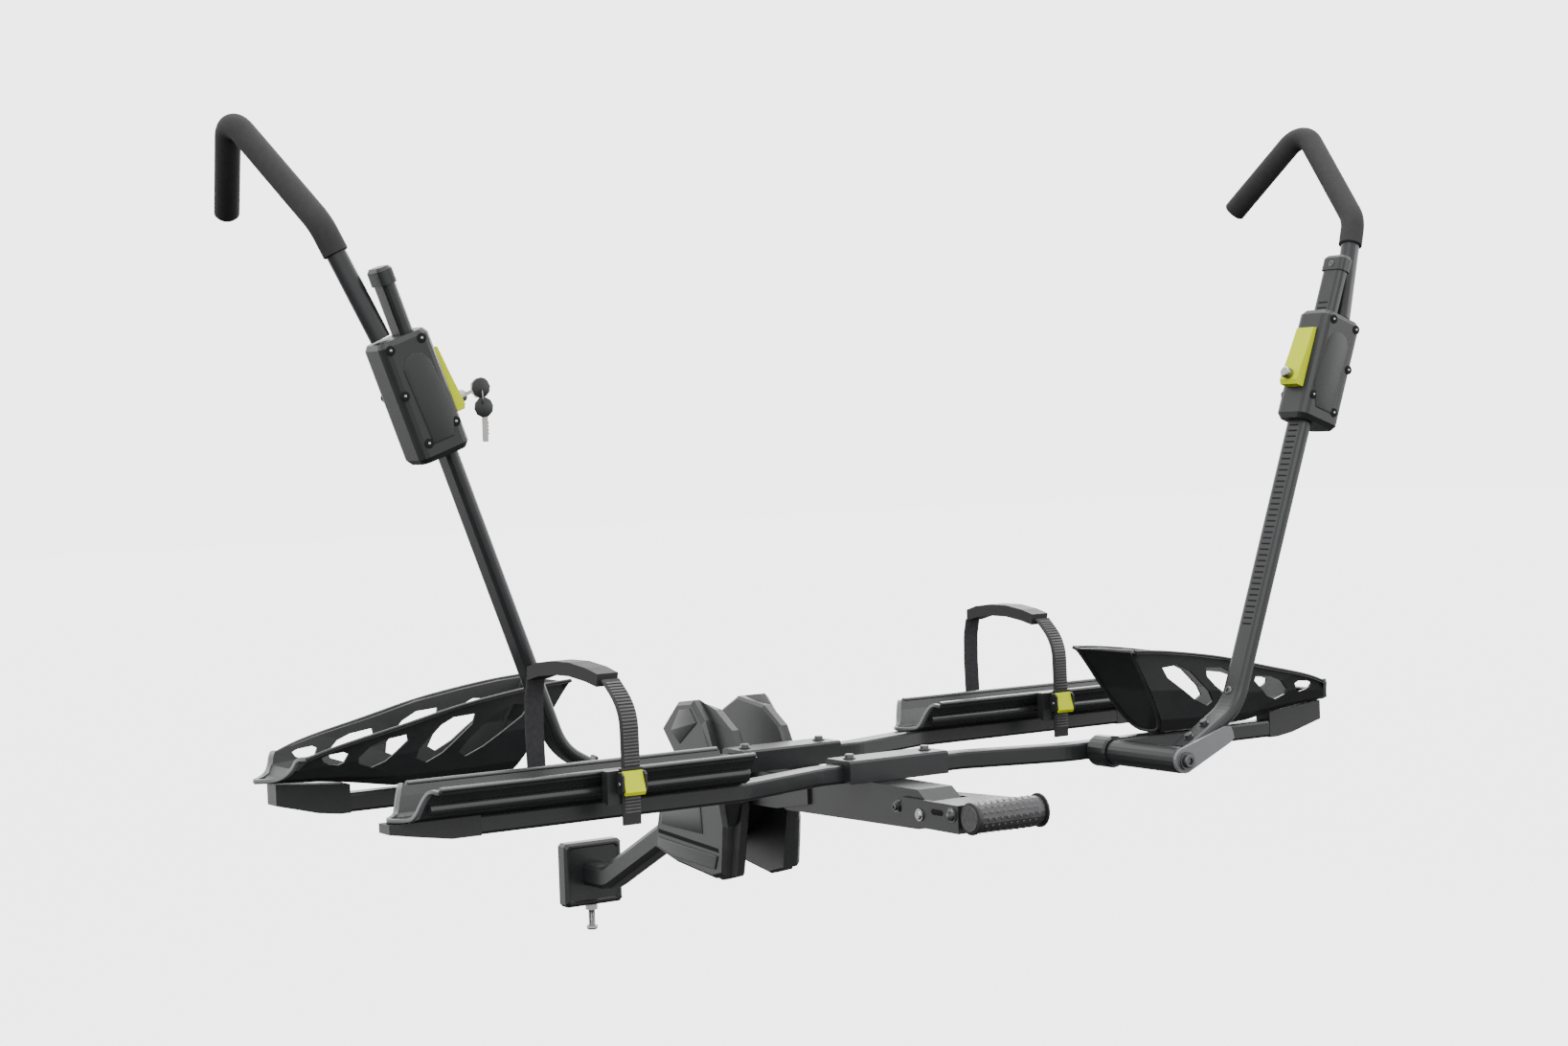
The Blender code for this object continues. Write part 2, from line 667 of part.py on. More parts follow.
def handle_frame():
    """Two arms on the spine's flanks, joined in front of it."""
    inner, outer = SPINE_HALF + GAP, SPINE_HALF + 0.0050
    bm = bmesh.new()
    back, front = -0.205, -0.3290
    outline = [(-outer, back), (-outer, front), (outer + 0.035, front), (outer + 0.035, front + 0.012),
               (outer, back + 0.035), (outer, back), (inner, back), (inner, -0.2700),
               (-inner, -0.2700), (-inner, back)]
    rings = [[(x, y, z) for x, y in outline] for z in (HANDLE_Z - 0.017, HANDLE_Z + 0.020)]
    return loft(rings, bm)


def handle_bolt(side):
    base = (side * (SPINE_HALF + 0.0050 + GAP), HANDLE_Y, HANDLE_Z)
    return lathe(base, (side, 0, 0), [(0, 0.0085), (0.0015, 0.0085), (0.0016, 0.0062),
                                      (0.0045, 0.0050)], 12)


def handle_grip():
    return lathe((GRIP_X0, GRIP_Y, GRIP_Z), (1, 0, 0),
                 [(0, 0.0165), (0.004, 0.0185), (0.010, 0.0195), (0.100, 0.0205),
                  (0.111, 0.0190), (GRIP_X1 - GRIP_X0, 0.0150)], 18)


# Assembly

clear_scene()
PARTS = new_collection("hitch_mounted_bike_rack")
CUTTERS = new_collection("cutters")
STEEL = material("black_steel", (0.055, 0.057, 0.060), 0.6, 0.42)
PLASTIC = material("black_plastic", (0.050, 0.051, 0.054), 0.0, 0.55)
TRAY_METAL = material("grey_tray", (0.100, 0.104, 0.110), 0.7, 0.36)
RUBBER = material("black_rubber", (0.025, 0.025, 0.027), 0.0, 0.85)
FOAM = material("black_foam", (0.040, 0.040, 0.042), 0.0, 0.95)
YELLOW = material("yellow_lever", (0.72, 0.78, 0.06), 0.0, 0.40)
ZINC = material("zinc_bolt", (0.62, 0.62, 0.60), 0.9, 0.30)
LINK_GREY = material("grey_link", (0.40, 0.41, 0.42), 0.3, 0.45)

mesh_object("hitch_plate", hitch_plate(), STEEL, PARTS)
mesh_object("hitch_bolt", hitch_bolt(), ZINC, PARTS)
mesh_object("gooseneck", gooseneck(), STEEL, PARTS)
block = mesh_object("pivot_block", pivot_block_solid(), STEEL, PARTS)
cut(block, pivot_bore(-0.05, 0.05), "bore")
mesh_object("pivot_pin", pivot_pin(), ZINC, PARTS)

spine = mesh_object("spine", spine_solid(), STEEL, PARTS)
cut(spine, spine_hollow(), "hollow")
for word, side in (("left", -1), ("right", 1)):
    cheek = mesh_object(f"pivot_cheek_{word}", pivot_cheek(side), STEEL, PARTS)
    cover = mesh_object(f"shroud_{word}", shroud(side), PLASTIC, PARTS)
    cut(cheek, pivot_bore(-0.12, 0.12), "bore")
    cut(cover, pivot_bore(-0.12, 0.12), "bore")
mesh_object("handle_frame", handle_frame(), STEEL, PARTS)
mesh_object("handle_grip", handle_grip(), RUBBER, PARTS)
mesh_object("handle_bolt", handle_bolt(-1), ZINC, PARTS)

for place, sign in (("front", -1), ("rear", 1)):
    rear = sign > 0
    mesh_object(f"beam_{place}", beam(sign), STEEL, PARTS)
    mesh_object(f"clamp_{place}", clamp(sign), STEEL, PARTS)
    for word, side in (("left", -1), ("right", 1)):
        mesh_object(f"clamp_bolt_{place}_{word}", clamp_bolt(sign, side), ZINC, PARTS)
        mesh_object(f"end_cap_{place}_{word}", end_cap(sign, side, side == -sign), PLASTIC, PARTS)
    mesh_object(f"wheel_tray_{place}", wheel_tray(rear), TRAY_METAL, PARTS)
    wheel_basket(f"wheel_basket_{place}", rear)
    mesh_object(f"strap_block_{place}", place_strap(strap_block(), rear), PLASTIC, PARTS)
    mesh_object(f"strap_ladder_{place}", place_strap(strap_band(False), rear), RUBBER, PARTS)
    mesh_object(f"strap_webbing_{place}", place_strap(strap_band(True), rear), RUBBER, PARTS)
    mesh_object(f"strap_pad_{place}", place_strap(strap_pad(), rear), RUBBER, PARTS)
    mesh_object(f"buckle_lever_{place}", place_strap(buckle_lever(), rear), YELLOW, PARTS)
    for name, build, mat in (("arm_boss", arm_boss, STEEL), ("arm_barrel", arm_barrel, STEEL),
                             ("arm_tube", arm_tube, STEEL), ("tube_cap", tube_cap, PLASTIC),
                             ("release_lever", release_lever, YELLOW), ("lock", lock, ZINC),
                             ("hook_rod", hook_rod, STEEL), ("hook_foam", hook_foam, FOAM)):
        mesh_object(f"{name}_{place}", place_arm(build(), rear), mat, PARTS)
    slider_housing(f"slider_housing_{place}", rear)
    pivot_link(f"arm_link_{place}", rear)
mesh_object("lock_key", place_arm(key(), True), ZINC, PARTS)
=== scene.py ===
import math

import bmesh
import bpy
from mathutils import Matrix, Vector


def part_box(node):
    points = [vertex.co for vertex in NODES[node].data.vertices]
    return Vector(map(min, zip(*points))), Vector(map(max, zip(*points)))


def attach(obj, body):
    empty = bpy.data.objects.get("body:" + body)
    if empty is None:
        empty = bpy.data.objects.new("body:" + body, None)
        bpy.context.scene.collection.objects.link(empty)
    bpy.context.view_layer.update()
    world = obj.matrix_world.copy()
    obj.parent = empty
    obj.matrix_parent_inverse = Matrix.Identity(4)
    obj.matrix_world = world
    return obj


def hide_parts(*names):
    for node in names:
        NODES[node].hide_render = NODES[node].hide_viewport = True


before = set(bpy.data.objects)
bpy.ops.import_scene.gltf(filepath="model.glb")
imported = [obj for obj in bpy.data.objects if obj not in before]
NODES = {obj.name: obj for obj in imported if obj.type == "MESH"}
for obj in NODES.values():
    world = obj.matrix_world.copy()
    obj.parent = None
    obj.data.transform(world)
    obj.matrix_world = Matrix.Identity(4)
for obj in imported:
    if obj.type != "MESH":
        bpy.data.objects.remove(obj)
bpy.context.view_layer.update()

# Metres throughout. Most shapes are written about the rack's own zero: the top of the beams,
# midway between their outer runs. The key, grip, handle and bolt details start from a node's box.
RACK = Vector((0.0, -0.725, 0.252))
BEAM_Y = 0.153       # half the distance between those outer runs
ENDS = ("front", "rear")


# ---------------------------------------------------------------- materials

def new_material(name, colour, roughness, metallic=0.0, spec=0.5):
    mat = bpy.data.materials.new(name)
    mat.use_nodes = True
    shader = mat.node_tree.nodes["Principled BSDF"]
    shader.inputs["Base Color"].default_value = (*colour, 1)
    shader.inputs["Roughness"].default_value = roughness
    shader.inputs["Metallic"].default_value = metallic
    shader.inputs["Specular IOR Level"].default_value = spec
    return mat


def link(mat, a, out, b, into):
    mat.node_tree.links.new(a.outputs[out], b.inputs[into])


def add_node(mat, kind, **values):
    node = mat.node_tree.nodes.new(kind)
    for key, value in values.items():
        if key in node.inputs:
            node.inputs[key].default_value = value
        else:
            setattr(node, key, value)
    return node


def vary(mat, scale, amount, colour, rough=0.0):
    """Soft noise over the base colour, and over roughness where asked."""
    shader = mat.node_tree.nodes["Principled BSDF"]
    coords = add_node(mat, "ShaderNodeTexCoord")
    noise = add_node(mat, "ShaderNodeTexNoise", Scale=scale, Detail=6.0, Roughness=0.6)
    ramp = add_node(mat, "ShaderNodeValToRGB")
    low = tuple(c * (1 - amount) for c in colour)
    high = tuple(min(1, c * (1 + amount)) for c in colour)
    ramp.color_ramp.elements[0].position = 0.3
    ramp.color_ramp.elements[0].color = (*low, 1)
    ramp.color_ramp.elements[1].position = 0.7
    ramp.color_ramp.elements[1].color = (*high, 1)
    link(mat, coords, "Object", noise, "Vector")
    link(mat, noise, "Fac", ramp, "Fac")
    link(mat, ramp, "Color", shader, "Base Color")
    if rough:
        spread = add_node(mat, "ShaderNodeMapRange")
        base = shader.inputs["Roughness"].default_value
        spread.inputs["To Min"].default_value = max(0.02, base - rough)
        spread.inputs["To Max"].default_value = min(1.0, base + rough)
        link(mat, noise, "Fac", spread, "Value")
        link(mat, spread, "Result", shader, "Roughness")


def grain(mat, scale, depth, kind="ShaderNodeTexNoise", stretch=(1, 1, 1), **values):
    """Fine bump from one procedural texture."""
    shader = mat.node_tree.nodes["Principled BSDF"]
    coords = add_node(mat, "ShaderNodeTexCoord")
    mapping = add_node(mat, "ShaderNodeMapping")
    mapping.inputs["Scale"].default_value = stretch
    texture = add_node(mat, kind, Scale=scale, **values)
    bump = add_node(mat, "ShaderNodeBump", Strength=1.0, Distance=depth)
    link(mat, coords, "Object", mapping, "Vector")
    link(mat, mapping, "Vector", texture, "Vector")
    out = "Distance" if kind == "ShaderNodeTexVoronoi" else "Fac"
    link(mat, texture, out, bump, "Height")
    link(mat, bump, "Normal", shader, "Normal")


def make_materials():
    """Every look by name: a varied base colour and roughness with a fine grain over it."""
    made = {}

    def add(key, colour, roughness, metallic=0.0, spec=0.5, amount=0.12, noise=30):
        mat = new_material(key, colour, roughness, metallic, spec)
        vary(mat, noise, amount, colour, rough=0.05)
        made[key] = mat
        return mat

    grain(add("powder_coat", (0.0065, 0.0068, 0.0072), 0.31, spec=0.17), 900, 0.00006)
    grain(add("moulded_plastic", (0.0065, 0.0068, 0.0071), 0.41, spec=0.17, amount=0.10), 1400, 0.00008)
    grain(add("shell_plastic", (0.0085, 0.0088, 0.0092), 0.37, spec=0.20, amount=0.10), 1100, 0.00005)
    grain(add("tray_coat", (0.0075, 0.0078, 0.0082), 0.27, spec=0.28), 800, 0.00004)
    grain(add("foam", (0.0105, 0.0105, 0.0110), 0.85, spec=0.14, amount=0.16, noise=120), 900, 0.00008)
    grain(add("rubber", (0.0045, 0.0045, 0.0048), 0.55, spec=0.20, amount=0.2, noise=80), 900, 0.0001)
    web = add("webbing", (0.012, 0.012, 0.013), 0.85, spec=0.15, amount=0.25, noise=150)
    grain(web, 420, 0.0002, "ShaderNodeTexWave", Distortion=0.4)
    dimple = add("grip_rubber", (0.010, 0.010, 0.011), 0.50, spec=0.3)
    grain(dimple, 110, 0.0005, "ShaderNodeTexVoronoi")
    grain(add("yellow_plastic", (0.22, 0.255, 0.0), 0.50, spec=0.06, amount=0.05, noise=12), 900, 0.00003)
    grain(add("zinc", (0.17, 0.17, 0.165), 0.32, metallic=0.95, amount=0.08, noise=60), 500,
          0.00003, stretch=(1, 1, 8))
    grain(add("black_bolt", (0.010, 0.010, 0.0105), 0.30, spec=0.4), 700, 0.00004)
    grain(add("link_coat", (0.060, 0.061, 0.063), 0.40, metallic=0.1, spec=0.2, amount=0.05), 900, 0.00005)
    grain(add("nickel", (0.15, 0.147, 0.14), 0.28, metallic=1.0, amount=0.1, noise=50), 600, 0.00002)
    # Near-black for painted shade: thin dark pieces laid over slots, screw wells, a groove and an opening,
    # where the real thing is in shade
    grain(add("painted_shade", (0.003, 0.003, 0.003), 0.9, spec=0.1, amount=0.3, noise=90), 900, 0.00002)
    grain(add("rubber_edge", (0.016, 0.016, 0.017), 0.45, spec=0.4, amount=0.2, noise=80), 900, 0.00006)
    # Lighter grey with more sheen for the lips round the pointed ends of trays and baskets: a painted
    # highlight along those edges
    grain(add("edge_highlight", (0.035, 0.036, 0.037), 0.38, spec=0.4, amount=0.12), 900, 0.00005)
    return made


MAT = make_materials()
# Look of each CAD node, by the start of its name
LOOKS = {
    "powder_coat": ("hitch_plate", "gooseneck", "pivot_block", "spine", "pivot_cheek", "handle_frame",
                    "beam", "clamp_front", "clamp_rear", "arm_boss", "arm_barrel", "arm_tube", "hook_rod"),
    "moulded_plastic": ("end_cap", "slider_housing", "strap_block", "tube_cap", "wheel_basket"),
    "shell_plastic": ("shroud",),
    "tray_coat": ("wheel_tray",),
    "foam": ("hook_foam",),
    "rubber": ("strap_ladder", "strap_pad"),
    "webbing": ("strap_webbing",),
    "grip_rubber": ("handle_grip",),
    "yellow_plastic": ("release_lever", "buckle_lever"),
    "zinc": ("hitch_bolt", "pivot_pin", "handle_bolt", "lock_front", "lock_rear"),
    "black_bolt": ("clamp_bolt",),
    "link_coat": ("arm_link",),
    "nickel": ("lock_key",),
}
BEVEL = {"powder_coat": 0.0012, "moulded_plastic": 0.0016, "shell_plastic": 0.004,
         "yellow_plastic": 0.0014, "rubber": 0.0008, "link_coat": 0.0008, "zinc": 0.0004,
         "nickel": 0.0003, "black_bolt": 0.0004}


def soften(obj, width, angle=32):
    """Smooth shading with sharp edges kept, and a small bevel on them."""
    mesh = obj.data
    mesh.polygons.foreach_set("use_smooth", [True] * len(mesh.polygons))
    mesh.set_sharp_from_angle(angle=math.radians(angle))
    if width:
        bevel = obj.modifiers.new("edge", "BEVEL")
        bevel.width = width
        bevel.segments = 2
        bevel.limit_method = "ANGLE"
        bevel.angle_limit = math.radians(angle)
        bevel.harden_normals = True
        bevel.use_clamp_overlap = True


def dress_cad():
    for key, starts in LOOKS.items():
        for name, obj in NODES.items():
            if name.startswith(starts):
                obj.data.materials.clear()
                obj.data.materials.append(MAT[key])
                soften(obj, BEVEL.get(key, 0.0))


dress_cad()


# ---------------------------------------------------------------- mesh tools

def rack_box(node):
    """A node's corners about the rack's own zero."""
    return [Vector(corner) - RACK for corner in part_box(node)]


def rounded(points, radii, steps=5):
    """The path with its inner corners replaced by arcs."""
    points = [Vector(p) for p in points]
    path = [points[0]]
    for i in range(1, len(points) - 1):
        here = points[i]
        back = (points[i - 1] - here).normalized()
        ahead = (points[i + 1] - here).normalized()
        half = back.angle(ahead) / 2
        reach = radii[i] / math.tan(half)
        centre = here + (back + ahead).normalized() * (radii[i] / math.sin(half))
        first = (here + back * reach - centre).normalized()
        last = (here + ahead * reach - centre).normalized()
        path += [centre + first.slerp(last, k / steps) * radii[i] for k in range(steps + 1)]
    return path + [points[-1]]


def smooth_path(path):
    """Corner cutting, done twice, that keeps the ends."""
    for _ in range(2):
        cut = [path[0]]
        for a, b in zip(path, path[1:]):
            cut += [a.lerp(b, 0.25), a.lerp(b, 0.75)]
        path = cut + [path[-1]]
    return path


def walk(path, pitch, start, end):
    """Points and directions at even steps along a path."""
    found, run, wanted = [], 0.0, start
    total = sum((b - a).length for a, b in zip(path, path[1:]))
    for a, b in zip(path, path[1:]):
        size = (b - a).length
        while wanted <= run + size and wanted <= total - end:
            found.append((a.lerp(b, (wanted - run) / size), (b - a).normalized()))
            wanted += pitch
        run += size
    return found


def loft(bm, rings):
    """A closed skin through rings with the same number of points."""
    loops = [[bm.verts.new(p) for p in ring] for ring in rings]
    count = len(loops[0])
    for low, high in zip(loops, loops[1:]):
        for i in range(count):
            j = (i + 1) % count
            bm.faces.new((low[i], low[j], high[j], high[i]))
    bm.faces.new(loops[0][::-1])
    bm.faces.new(loops[-1])


def block(bm, centre, axes, half, chamfer=0.25):
    """A box with chamfered edges along its third axis."""
    u, v, w = (Vector(axis).normalized() for axis in axes)
    a, b, c = half
    cut = chamfer * min(a, b)
    outline = [(a, b - cut), (a - cut, b), (cut - a, b), (-a, b - cut),
               (-a, cut - b), (cut - a, -b), (a - cut, -b), (a, cut - b)]
    loft(bm, [[Vector(centre) + u * (p * k) + v * (q * k) + w * t for p, q in outline]
              for t, k in ((-c, 1.0), (c * 0.7, 1.0), (c, 0.94))])


def turned(bm, start, axis, profile, count=20):
    """Rings of (distance along the axis, radius)."""
    start, axis = Vector(start), Vector(axis).normalized()
    side = axis.orthogonal().normalized()
    up = axis.cross(side)
    loft(bm, [[start + axis * t + (side * math.cos(k) + up * math.sin(k)) * r
               for k in (2 * math.pi * i / count for i in range(count))] for t, r in profile])


def swept(bm, path, across, half_a, half_b, count=12, square=0.0, ends=1.0):
    """A bar along a path; half_b is measured along across, and ends shrinks both end rings.

    The section is an ellipse, and square moves it towards a rectangle.
    """
    rings = []
    last = len(path) - 1
    for i, point in enumerate(path):
        ahead = path[min(i + 1, last)] - path[max(i - 1, 0)]
        w = Vector(across)
        w = (w - ahead * (w.dot(ahead) / ahead.length_squared)).normalized()
        u = w.cross(ahead).normalized()
        ring = []
        for k in range(count):
            angle = 2 * math.pi * (k + 0.5) / count
            c, s = math.cos(angle), math.sin(angle)
            grow = 1 / max(abs(c), abs(s)) if square else 1.0
            grow = 1 + (grow - 1) * square
            grow *= ends if i in (0, last) else 1.0
            ring.append(point + u * (half_a * c * grow) + w * (half_b * s * grow))
        rings.append(ring)
    loft(bm, rings)


def piece(name, bm, look, body, bevel=0.0, angle=32):
    """Finishes a new mesh, written about the rack's own zero, and gives it to a body."""
    bmesh.ops.recalc_face_normals(bm, faces=bm.faces)
    bmesh.ops.translate(bm, verts=bm.verts, vec=RACK)
    mesh = bpy.data.meshes.new(name)
    bm.to_mesh(mesh)
    bm.free()
    obj = bpy.data.objects.new(name, mesh)
    mesh.materials.append(MAT[look])
    bpy.context.scene.collection.objects.link(obj)
    soften(obj, bevel, angle)
    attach(obj, body)
    return obj


def mirrored(bm, rear):
    """Front pieces of an arm or basket stay; rear ones are mirrored onto the other beam."""
    if rear:
        for v in bm.verts:
            v.co.x = -v.co.x
            v.co.y += 2 * BEAM_Y
    return bm


def shifted(bm, x, rear):
    """Front pieces of a strap or tray stay; rear ones move sideways onto the other beam."""
    if rear:
        for v in bm.verts:
            v.co.x += x
            v.co.y += 2 * BEAM_Y
    return bm


# ---------------------------------------------------------------- arms and sliders

ARM_Y = -0.327                        # middle of the front arm's tube
PIVOT_X, PIVOT_Z = 0.336, -0.0125     # axis that the front arm swings about
VERTEX, TOP = Vector((0.446, 0, 0.050)), Vector((0.6655, 0, 0.6505))
ALONG = (TOP - VERTEX).normalized()
OUT = Vector((ALONG.z, 0, -ALONG.x))
ACROSS = Vector((0, 1, 0))
TUBE_HALF_T = 0.009
HOUSING_MID_Z = 0.515
HOUSING_HALF_Y = 0.029

SLOT_LOW, SLOT_HIGH, SLOT_PITCH = 0.160, 0.612, 0.0078
SLOT_HALF = (0.0085, 0.0011, 0.00022)
TUBE_SCREW_Z, CAP_SCREW_Z, CAP_WALL = 0.069, 0.6590, 0.0016
LOWER_BOLT_RUNS = (0.0720, 0.0400)    # along the lower run of the tube, from the pivot
LINK_FACE_Y, BOLT_FACE_Y = -0.3486, -0.3539

# Profiles of turned pieces: (distance along the axis, radius)
HEX_HEAD = [(0, 0.0078), (0.0016, 0.0078), (0.0017, 0.0058), (0.0058, 0.0056), (0.0066, 0.0044)]
PIVOT_WASHER = [(0, 0.0150), (0.0008, 0.0156), (0.0016, 0.0150), (0.0016, 0.0121), (0, 0.0121)]
BOLT_FLANGE = [(0, 0.0124), (0.0036, 0.0124), (0.0036, 0.0092)]
BOLT_HEAD = [(0, 0.0090), (0.0042, 0.0090), (0.0054, 0.0078), (0.0054, 0.0046), (0.0020, 0.0044)]
BOLT_SOCKET = [(0, 0.0044), (0.0012, 0.0044), (0.0014, 0.0030)]


def on_tube(height, out=0.0, across=0.0):
    """A point beside the straight tube of the front arm, at a height."""
    base = Vector((VERTEX.x, ARM_Y + across, VERTEX.z))
    return base + ALONG * ((height - VERTEX.z) / ALONG.z) + OUT * out


def in_housing(along, out, across=0.0):
    """A point measured from the middle of the front arm's sliding housing."""
    return on_tube(HOUSING_MID_Z) + ALONG * along + OUT * out + ACROSS * across


def screw(bm, at, axis, radius, rise):
    """Button head with a dished middle."""
    turned(bm, at, axis, [(-0.0004, radius), (rise * 0.5, radius), (rise, radius * 0.8),
                          (rise, radius * 0.45), (rise * 0.35, radius * 0.45 * 0.9)])


def ratchet_slot_shade(end):
    # Each slot is a thin near-black block on the tube's face: painted shade for the shade inside the slot
    bm = bmesh.new()
    height = SLOT_LOW
    while height < SLOT_HIGH:
        block(bm, on_tube(height, -TUBE_HALF_T), (ACROSS, ALONG, OUT), SLOT_HALF)
        height += SLOT_PITCH
    piece(f"ratchet_slot_shade_{end}", mirrored(bm, end == "rear"), "painted_shade", f"arm_{end}")


def arm_screws(end):
    """A button head on the upright tube and two hex heads on its lower run."""
    bm = bmesh.new()
    screw(bm, on_tube(TUBE_SCREW_Z, -TUBE_HALF_T, 0.004), -OUT, 0.0062, 0.0024)
    foot = Vector((PIVOT_X, ARM_Y, PIVOT_Z))
    rise = (Vector((VERTEX.x, ARM_Y, VERTEX.z)) - foot).normalized()
    top = Vector((-rise.z, 0, rise.x))
    for run in LOWER_BOLT_RUNS:
        at = foot + rise * run + top * TUBE_HALF_T
        turned(bm, at - top * 0.0004, top, HEX_HEAD, 6)
    piece(f"arm_screws_{end}", mirrored(bm, end == "rear"), "black_bolt", f"arm_{end}")


def pivot_fasteners(end):
    """Washer and socket bolt on the outer face of the arm link."""
    rear, outward = end == "rear", (0, -1, 0)
    bm = bmesh.new()
    turned(bm, (PIVOT_X, LINK_FACE_Y, PIVOT_Z), outward, PIVOT_WASHER, 28)
    piece(f"pivot_washer_{end}", mirrored(bm, rear), "link_coat", f"arm_{end}")

    bm = bmesh.new()
    turned(bm, (PIVOT_X, BOLT_FACE_Y, PIVOT_Z), outward, BOLT_FLANGE, 24)
    turned(bm, (PIVOT_X, BOLT_FACE_Y - 0.0030, PIVOT_Z), outward, BOLT_HEAD, 24)
    turned(bm, (PIVOT_X, BOLT_FACE_Y - 0.0046, PIVOT_Z), outward, BOLT_SOCKET, 6)
    piece(f"pivot_bolt_{end}", mirrored(bm, rear), "black_bolt", f"arm_{end}")


# (along, out) of the screws in each side of a housing
HOUSING_SCREWS = ((0.0690, -0.0085), (0.0690, 0.0370), (0.0100, 0.0400), (-0.0440, -0.0130),
                  (-0.0560, 0.0320))
# SCREW_WELL is a near-black disc of painted shade round each screw, where the screw sits in a shaded well
SCREW_WELL = [(-0.0003, 0.0064), (0.0008, 0.0062), (0.0011, 0.0054)]
SCREW_HEAD = [(0.0002, 0.0018), (0.0014, 0.0018), (0.0017, 0.0012)]
# Raised field on each side of a housing: its outline, middle, and (rise, scale) of its rings
FIELD = ((-0.060, -0.004), (-0.060, 0.026), (0.040, 0.030), (0.052, 0.022), (0.056, 0.010),
         (0.052, -0.002), (0.040, -0.010), (-0.030, -0.016))
FIELD_MID = (-0.002, 0.008)
FIELD_RINGS = ((-0.0004, 1.0), (0.0008, 0.985), (0.0013, 0.94))


def housing_screws(end):
    rear, body = end == "rear", f"slider_{end}"
    wells, heads = bmesh.new(), bmesh.new()
    for side in (-1, 1):
        for along, out in HOUSING_SCREWS:
            at = in_housing(along, out, side * HOUSING_HALF_Y)
            # A near-black disc round each head paints the shade of the well that the screw sits in
            turned(wells, at, (0, side, 0), SCREW_WELL)
            turned(heads, at, (0, side, 0), SCREW_HEAD, 12)
    piece(f"housing_well_shade_{end}", mirrored(wells, rear), "painted_shade", body)
    piece(f"housing_screws_{end}", mirrored(heads, rear), "zinc", body)


def housing_fields(end):
    bm = bmesh.new()
    mid_a, mid_b = FIELD_MID
    for side in (-1, 1):
        loft(bm, [[in_housing(mid_a + (a - mid_a) * scale, mid_b + (b - mid_b) * scale,
                              side * (HOUSING_HALF_Y + rise)) for a, b in FIELD]
                  for rise, scale in FIELD_RINGS])
    piece(f"housing_fields_{end}", mirrored(bm, end == "rear"), "moulded_plastic",
          f"slider_{end}", 0.0004)


def cap_screw(end):
    bm = bmesh.new()
    screw(bm, on_tube(CAP_SCREW_Z, -TUBE_HALF_T - CAP_WALL), -OUT, 0.0045, 0.0010)
    piece(f"cap_screw_{end}", mirrored(bm, end == "rear"), "black_bolt", f"arm_{end}")


# Middle of the hook rod, from the housing to its tip, and the bend at each point
HOOK_PATH = (in_housing(0.0835, 0.031), Vector((0.735, -0.297, 0.728)),
             Vector((0.789, -0.146, 0.877)), Vector((0.750, -0.031, 0.761)))
HOOK_BENDS = (0, 0.055, 0.034, 0)
BARE_ROD, ROD_R, FOAM_R = 0.118, 0.0132, 0.0166


def beyond(path, run):
    """The part of a path that lies past a distance from its start."""
    for i, (a, b) in enumerate(zip(path, path[1:])):
        size = (b - a).length
        if run <= size:
            return [a.lerp(b, run / size)] + path[i + 1:]
        run -= size
    return path[-1:]


def hook(end):
    """Rod and foam sleeve of a hook, which stand for the plain CAD ones."""
    rear, body = end == "rear", f"slider_{end}"
    path = rounded(HOOK_PATH, HOOK_BENDS, 12)
    bm = bmesh.new()
    swept(bm, path, (1, 0, 0), ROD_R, ROD_R, 28)
    rod = piece(f"hook_bar_{end}", mirrored(bm, rear), "powder_coat", body, 0, 50)
    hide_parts(f"hook_rod_{end}")

    first, *middle, last = beyond(path, BARE_ROD)
    near = first + (middle[0] - first).normalized() * 0.0015
    far = last - (last - middle[-1]).normalized() * 0.0025
    bm = bmesh.new()
    swept(bm, [first, near, *middle, far, last], (1, 0, 0), FOAM_R, FOAM_R, 28, ends=0.88)
    sleeve = piece(f"hook_sleeve_{end}", mirrored(bm, rear), "foam", body, 0, 50)
    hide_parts(f"hook_foam_{end}")


KEY_BOW_R = 0.0125
SPARE_DROP = Vector((0.002, -0.0030, -0.0250))
KEY_BOW = [(0, 0.0118), (0.0008, 0.0132), (0.0040, 0.0132), (0.0048, 0.0118)]
KEY_TEETH, TOOTH_PITCH = 4, 0.0045
RING_POINTS = 25


def key_details():
    """Moulded bows on the key in the lock and on the spare that hangs from it."""
    low, high = rack_box("lock_key")
    bow = Vector((high.x - KEY_BOW_R, (low.y + high.y) / 2, (low.z + high.z) / 2))
    spare = bow + SPARE_DROP
    heads, metal = bmesh.new(), bmesh.new()
    for centre in (bow, spare):
        turned(heads, centre + Vector((0, 0.0024, 0)), (0, -1, 0), KEY_BOW, 10)
    block(metal, spare + Vector((0.001, 0, -0.0270)), ((1, 0, 0), (0, 1, 0), (0, 0, -1)),
          (0.0040, 0.0009, 0.0170), 0.3)
    for i in range(KEY_TEETH):
        block(metal, spare + Vector((0.0048, 0, -0.0200 - TOOTH_PITCH * i)),
              ((1, 0, 0), (0, 0, 1), (0, 1, 0)), (0.0012, 0.0015, 0.0008), 0.5)
    ring, centre = [], (bow + spare) / 2
    for k in range(RING_POINTS):
        angle = 2 * math.pi * k / RING_POINTS
        ring.append(centre + Vector((0.0030 * math.sin(angle), 0.0075 * math.sin(angle),
                                     0.0095 * math.cos(angle))))
    swept(metal, ring, (0.93, -0.37, 0), 0.0007, 0.0007, 8)
    piece("key_bows", heads, "moulded_plastic", "key", 0.0005)
    piece("spare_key_metal", metal, "nickel", "key")


# ---------------------------------------------------------------- straps

